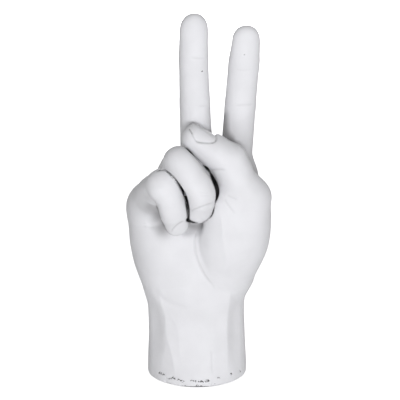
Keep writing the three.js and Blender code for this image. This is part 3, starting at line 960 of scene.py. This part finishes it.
def rims_of(faces, count):
    """Edges that only one face uses, and for each vertex the smallest vertex number on its rim."""
    edges = np.stack([faces, np.roll(faces, -1, 1)], -1).reshape(-1, 2)
    open_edges = edges[~np.isin(edges[:, 0] * count + edges[:, 1], edges[:, 1] * count + edges[:, 0])]
    rim_number = np.arange(count)
    while True:
        lower = np.minimum(rim_number[open_edges[:, 0]], rim_number[open_edges[:, 1]])
        fresh = rim_number.copy()
        np.minimum.at(fresh, open_edges.ravel(), np.repeat(lower, 2))
        fresh = fresh[fresh]
        if np.array_equal(fresh, rim_number):
            return open_edges, rim_number
        rim_number = fresh


def mesh_object(name, points, faces):
    """A mesh object at the origin from points in millimetres and a list of faces."""
    mesh = bpy.data.meshes.new(name)
    mesh.from_pydata((points * MM).tolist(), [], faces)
    mesh.polygons.foreach_set("use_smooth", np.ones(len(mesh.polygons), bool))
    mesh.update()
    piece = bpy.data.objects.new(name, mesh)
    bpy.context.scene.collection.objects.link(piece)
    return piece


skin_normals = vertex_normals(skin_points, skin_quads)
quad_owner = batched(owners, smooth_points[skin_quads].mean(1))
APEX_STEPS = 8
SKIN_NOTES = {"crowded": crowded, "gap_shadow": gap_shadow, "painted_shade": painted_shade, "worn": worn}


def cut_out(name):
    """One piece of the skin with its rims closed by fans, its normals and its painted notes."""
    faces = skin_quads[quad_owner == PIECES.index(name)]
    kept, local = np.unique(faces, return_inverse=True)
    local = local.reshape(-1, 4)
    open_edges, rim_number = rims_of(local, len(kept))
    rims, rim_place = np.unique(rim_number[open_edges[:, 0]], return_inverse=True)
    points = skin_points[kept]
    size = np.bincount(rim_place)[:, None]
    middles = np.stack([np.bincount(rim_place, points[open_edges[:, 0], i]) for i in range(3)], 1) / size
    for _ in range(APEX_STEPS):
        slope = gradient(hand, middles)
        middles -= slope / np.maximum(np.linalg.norm(slope, axis=1, keepdims=True), 0.3)
    fan = np.column_stack([open_edges[:, 1], open_edges[:, 0], len(kept) + rim_place])
    piece = mesh_object(name + "_skin", np.vstack([points, middles]), local.tolist() + fan.tolist())
    normals = np.vstack([skin_normals[kept], np.tile(UPWARD, (len(rims), 1))])
    piece.data.normals_split_custom_set_from_vertices(normals.tolist())
    for note, values in SKIN_NOTES.items():
        layer = piece.data.attributes.new(note, "FLOAT", "POINT")
        # the hidden fan points get the full painted gap shadow
        inside = np.full(len(rims), float(note == "gap_shadow"))
        layer.data.foreach_set("value", np.append(values[kept], inside).astype(np.float32))
    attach(piece, "root")
    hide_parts(name)
    print(piece.name, "faces:", len(piece.data.polygons), "rims closed:", len(rims))
    return piece


skin_pieces = [cut_out(name) for name in PIECES]

# %% [markdown]
# ## Matte white paint
# The hand is painted white over plaster: a flat, slightly cool white that is a little uneven, with
# painted shade in the folds, gaps and hollows, and bare plaster where the rim is chipped. The notes
# that were left on the vertices say where, and noise in Object coordinates breaks their edges up.

# %% Paint
def new_material(name):
    """An empty node material: its nodes, its links and its shader."""
    material = bpy.data.materials.new(name)
    material.use_nodes = True
    nodes, links = material.node_tree.nodes, material.node_tree.links
    return material, nodes, links, nodes["Principled BSDF"]


def noise(nodes, links, scale, detail=3.0, stretch=None):
    """A noise pattern in Object coordinates. The scale counts waves in a metre, times the stretch."""
    place = nodes.new("ShaderNodeTexCoord").outputs["Object"]
    if stretch:
        mapping = nodes.new("ShaderNodeMapping")
        mapping.inputs["Scale"].default_value = stretch
        links.new(place, mapping.inputs["Vector"])
        place = mapping.outputs["Vector"]
    pattern = nodes.new("ShaderNodeTexNoise")
    pattern.inputs["Scale"].default_value = scale
    pattern.inputs["Detail"].default_value = detail
    links.new(place, pattern.inputs["Vector"])
    return pattern.outputs["Fac"]


def spread(nodes, links, source, low, high, to_low=0.0, to_high=1.0):
    """The source mapped smoothly from low and high to two new values."""
    mapped = nodes.new("ShaderNodeMapRange")
    mapped.interpolation_type = "SMOOTHSTEP"
    for socket, value in zip(("From Min", "From Max", "To Min", "To Max"), (low, high, to_low, to_high)):
        mapped.inputs[socket].default_value = value
    links.new(source, mapped.inputs["Value"])
    return mapped.outputs["Result"]


def tinted(nodes, links, amount, below, above):
    """A colour that goes from below to above as the amount goes from 0 to 1. Each may be a socket."""
    mix = nodes.new("ShaderNodeMix")
    mix.data_type = "RGBA"
    links.new(amount, mix.inputs["Factor"])
    for socket, colour in ((mix.inputs[6], below), (mix.inputs[7], above)):
        if isinstance(colour, tuple):
            socket.default_value = (*colour, 1)
        else:
            links.new(colour, socket)
    return mix.outputs[2]


def note_of(nodes, name):
    """A number that was left on the vertices."""
    note = nodes.new("ShaderNodeAttribute")
    note.attribute_name = name
    return note.outputs["Fac"]


def bumped(nodes, links, shader, height, strength, distance):
    """Lets a pattern tilt the normals, as relief of the given height in metres."""
    bump = nodes.new("ShaderNodeBump")
    bump.inputs["Strength"].default_value = strength
    bump.inputs["Distance"].default_value = distance
    links.new(height, bump.inputs["Height"])
    links.new(bump.outputs["Normal"], shader.inputs["Normal"])


def grained(name, pattern, colours, roughness, relief, contrast=None, **others):
    """A finish of one noise pattern: it blends two colours and raises its grains as relief.

    With a contrast the pattern is sharpened first. A pair of roughnesses is blended in the same way.
    The others are values of the shader's own sockets.
    """
    material, nodes, links, shader = new_material(name)
    grains = noise(nodes, links, **pattern)
    amount = spread(nodes, links, grains, *contrast) if contrast else grains
    links.new(tinted(nodes, links, amount, *colours), shader.inputs["Base Color"])
    if isinstance(roughness, tuple):
        links.new(spread(nodes, links, grains, 0.3, 0.7, *roughness), shader.inputs["Roughness"])
    else:
        shader.inputs["Roughness"].default_value = roughness
    for socket, value in others.items():
        shader.inputs[socket.replace("_", " ")].default_value = value
    bumped(nodes, links, shader, grains, *relief)
    return material


WHITE = (0.80, 0.80, 0.813)
CHALK = (0.77, 0.77, 0.782)
SHADE_GREY = (0.22, 0.215, 0.215)
PAINTED_SHADOW = (0.012, 0.012, 0.012)
SCUFF = (0.03, 0.029, 0.028)


def matte_white_paint():
    """White with a slow tone, painted shade in folds and gaps, and chips that show the plaster."""
    material, nodes, links, shader = new_material("matte_white_paint")
    colour = tinted(nodes, links, spread(nodes, links, noise(nodes, links, 55), 0.35, 0.65), CHALK, WHITE)
    # painted shade by the folds, the nail grooves and the shaded hollows
    colour = tinted(nodes, links, note_of(nodes, "painted_shade"), colour, SHADE_GREY)
    # painted shade where nearby surfaces crowd the skin
    shade = spread(nodes, links, note_of(nodes, "crowded"), 0.6, 1.1)
    colour = tinted(nodes, links, shade, colour, PAINTED_SHADOW)
    # painted shadow in the gaps that were cut open
    colour = tinted(nodes, links, note_of(nodes, "gap_shadow"), colour, PAINTED_SHADOW)
    broken = nodes.new("ShaderNodeMath")
    broken.operation = "MULTIPLY"
    links.new(note_of(nodes, "worn"), broken.inputs[0])
    links.new(spread(nodes, links, noise(nodes, links, 1100, 2), 0.42, 0.58, 0.25, 1.6), broken.inputs[1])
    colour = tinted(nodes, links, spread(nodes, links, broken.outputs[0], 0.35, 0.8), colour, SCUFF)
    links.new(colour, shader.inputs["Base Color"])
    roughness = spread(nodes, links, noise(nodes, links, 140), 0.3, 0.7, 0.55, 0.72)
    links.new(roughness, shader.inputs["Roughness"])
    shader.inputs["Specular IOR Level"].default_value = 0.35
    bumped(nodes, links, shader, noise(nodes, links, 900, 6), 0.25, 0.0002)
    return material


paint = matte_white_paint()
for piece in skin_pieces:
    piece.data.materials.append(paint)
print("painted pieces:", len(skin_pieces))

# %% [markdown]
# ## Felt under the base
# A thin dark felt keeps the plaster from scratching a table. It is cut to the outline of the base,
# a little smaller, so from the side only a thin dark line shows. The pad is a profile carried round
# that outline, with a soft edge and a slightly matted face. Its area is the share of its box that a
# superellipse covers.

# %% Felt pad
FELT_POWER = 2.05
FELT_ROUNDS = 220
FELT_RINGS = 26
FELT_CORE, FELT_FACE = 0.06, 0.985
FELT_EDGE_STEPS = 7
MATTING_SIZE, MATTING_DEPTH = 1.7, 0.05
felt_low, felt_high = np.array(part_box("base_felt")) / MM
felt_middle, felt_half = (felt_low + felt_high) / 2, (felt_high - felt_low) / 2


def bowed(t):
    """A cosine or sine to the power that bends a circle to the outline, with its sign kept."""
    return np.sign(t) * np.abs(t) ** (2 / FELT_POWER)


def felt_pad():
    """Rings of a superellipse: in from the middle below, round the edge and back to the middle above.

    The share of the outline goes 0 to 1 and back to 0, and the height follows a half circle at the
    edge. Two poles close the middle.
    """
    turn = np.linspace(0, 2 * math.pi, FELT_ROUNDS, endpoint=False)
    outline = np.stack([bowed(np.cos(turn)), bowed(np.sin(turn))], 1) * felt_half[:2]
    inner = np.linspace(FELT_CORE, FELT_FACE, FELT_RINGS)
    edge = np.linspace(-math.pi / 2, math.pi / 2, FELT_EDGE_STEPS)[1:-1]
    share = np.concatenate([inner, FELT_FACE + (1 - FELT_FACE) * np.cos(edge), inner[::-1]])
    height = np.concatenate([np.full(FELT_RINGS, -1.0), np.sin(edge), np.full(FELT_RINGS, 1.0)])
    rings = np.empty((len(share), FELT_ROUNDS, 3))
    rings[..., :2] = felt_middle[:2] + share[:, None, None] * outline
    rings[..., 2] = felt_middle[2] + (height * felt_half[2])[:, None]
    poles = np.stack([felt_middle - UPWARD * felt_half, felt_middle + UPWARD * felt_half])
    points = np.vstack([rings.reshape(-1, 3), poles])
    matted = grain(points, MATTING_SIZE, 5) * MATTING_DEPTH
    points[:, 2] -= np.abs(matted) * np.sign(points[:, 2] - felt_middle[2])
    row, place = np.divmod(np.arange((len(share) - 1) * FELT_ROUNDS), FELT_ROUNDS)
    after = (place + 1) % FELT_ROUNDS
    quads = np.stack([row * FELT_ROUNDS + place, row * FELT_ROUNDS + after,
                      (row + 1) * FELT_ROUNDS + after, (row + 1) * FELT_ROUNDS + place], 1)
    around = np.arange(FELT_ROUNDS)
    last = (len(share) - 1) * FELT_ROUNDS
    below = np.stack([np.roll(around, -1), around, np.full(FELT_ROUNDS, len(points) - 2)], 1)
    above = np.stack([last + around, last + np.roll(around, -1), np.full(FELT_ROUNDS, len(points) - 1)], 1)
    return mesh_object("base_felt_pad", points, quads.tolist() + below.tolist() + above.tolist())


grey_felt = grained(
    "grey_felt", dict(scale=2600, detail=8), ((0.018, 0.019, 0.02), (0.07, 0.072, 0.075)),
    roughness=0.95, relief=(0.6, 0.0003), contrast=(0.35, 0.65), Sheen_Weight=0.3,
)
felt = felt_pad()
felt.data.materials.append(grey_felt)
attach(felt, "root")
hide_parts("base_felt")
felt_flat = 2 * felt_half[:2] * MM
felt_cover = math.gamma(1 + 1 / FELT_POWER) ** 2 / math.gamma(1 + 2 / FELT_POWER)
float(felt_cover * felt_flat.prod())
print("felt size in mm:", np.round(2 * felt_half, 1).tolist(), "share of its box:", round(felt_cover, 3))

# %% [markdown]
# ## Inner pieces
# The dowels, the ballast and the plug stay as the solids that they are, hidden in the hand. They
# still get the finish that they would show on the bench: steel rod with fine drawing marks along it,
# grey cement with sand grains, and brown board with short pressed fibres. Each is one noise pattern,
# stretched upwards for the marks and flattened for the fibres.

# %% Inner finishes
drawn_steel = grained(
    "drawn_steel", dict(scale=3000, detail=2, stretch=(1, 1, 0.03)),
    ((0.32, 0.33, 0.34), (0.52, 0.53, 0.54)),
    roughness=(0.28, 0.45), relief=(0.2, 0.00005), Metallic=1,
)
poured_cement = grained(
    "poured_cement", dict(scale=700, detail=6), ((0.17, 0.165, 0.155), (0.36, 0.35, 0.33)),
    roughness=0.95, relief=(0.7, 0.0006), contrast=(0.35, 0.65),
)
fibre_board = grained(
    "fibre_board", dict(scale=900, detail=6, stretch=(1, 0.35, 2.5)),
    ((0.22, 0.14, 0.075), (0.46, 0.33, 0.2)),
    roughness=0.85, relief=(0.4, 0.0002),
)
inner_finishes = {name + "_dowel": drawn_steel for name in DIGITS}
inner_finishes.update(ballast=poured_cement, base_plug=fibre_board)
for name, finish in inner_finishes.items():
    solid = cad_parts[name]
    solid.data.materials.clear()
    solid.data.materials.append(finish)
print("inner pieces finished:", len(inner_finishes))

# %% [markdown]
# ## Floor and light
# The hand stands on a pale floor in front of one large soft lamp that is hardly higher than the
# hand and a little to the right. Planes that face the lens are the brightest, the left side and
# what faces up are greyer. A second lamp shows the form of the back, which the first doesn't reach.
# The floor and the surroundings are lifted to white for the camera, and the floor keeps the shadow.

# %% Floor
scene = bpy.context.scene
scene.view_settings.view_transform = "Standard"
FLOOR_HALF = 4000.0
square = np.array([[-1, -1], [1, -1], [1, 1], [-1, 1]]) * FLOOR_HALF
floor = mesh_object("floor", np.column_stack([square, np.zeros(4)]), [[0, 1, 2, 3]])
FLOOR_GLOW = 0.85


def seen_glow(nodes, links, hidden, seen):
    """A strength: the seen one for rays that reach the camera, straight, by a mirror or by glass."""
    path = nodes.new("ShaderNodeLightPath")
    total = path.outputs["Is Camera Ray"]
    for ray in ("Is Glossy Ray", "Is Transmission Ray"):
        either = nodes.new("ShaderNodeMath")
        either.operation = "MAXIMUM"
        links.new(total, either.inputs[0])
        links.new(path.outputs[ray], either.inputs[1])
        total = either.outputs[0]
    return spread(nodes, links, total, 0, 1, hidden, seen)


def pale_floor():
    """A pale matte floor that glows only for rays that reach the camera."""
    material, nodes, links, shader = new_material("pale_floor")
    shader.inputs["Base Color"].default_value = (0.8, 0.8, 0.8, 1)
    shader.inputs["Roughness"].default_value = 1
    shader.inputs["Specular IOR Level"].default_value = 0
    shader.inputs["Emission Color"].default_value = (1, 1, 1, 1)
    links.new(seen_glow(nodes, links, 0, FLOOR_GLOW), shader.inputs["Emission Strength"])
    return material


floor.data.materials.append(pale_floor())

# %% Light
AMBIENT = 0.32
LAMP_COLOUR = (0.97, 0.97, 1.0)
LAMP_AIM = (0, 0, 0.11)
world = bpy.data.worlds.new("studio")
scene.world = world
world.use_nodes = True
world_nodes, world_links = world.node_tree.nodes, world.node_tree.links
surroundings = world_nodes["Background"]
surroundings.inputs["Color"].default_value = (1, 1, 1, 1)
world_links.new(seen_glow(world_nodes, world_links, AMBIENT, 1), surroundings.inputs["Strength"])


def soft_lamp(name, place, size, power):
    """An oblong lamp of the given width and height, in metres, turned to the middle of the hand."""
    lamp = bpy.data.objects.new(name, bpy.data.lights.new(name, "AREA"))
    scene.collection.objects.link(lamp)
    lamp.data.shape = "RECTANGLE"
    lamp.data.size, lamp.data.size_y = size
    lamp.data.energy = power
    lamp.data.color = LAMP_COLOUR
    lamp.location = place
    lamp.rotation_euler = (Vector(LAMP_AIM) - Vector(place)).to_track_quat("-Z", "Y").to_euler()


soft_lamp("front_light", (0.14, -1.5, 0.28), (0.8, 0.22), 15.0)
soft_lamp("back_light", (0.1, 1.5, 0.36), (0.4, 0.3), 9.0)
print("lamps:", len(bpy.data.lights))
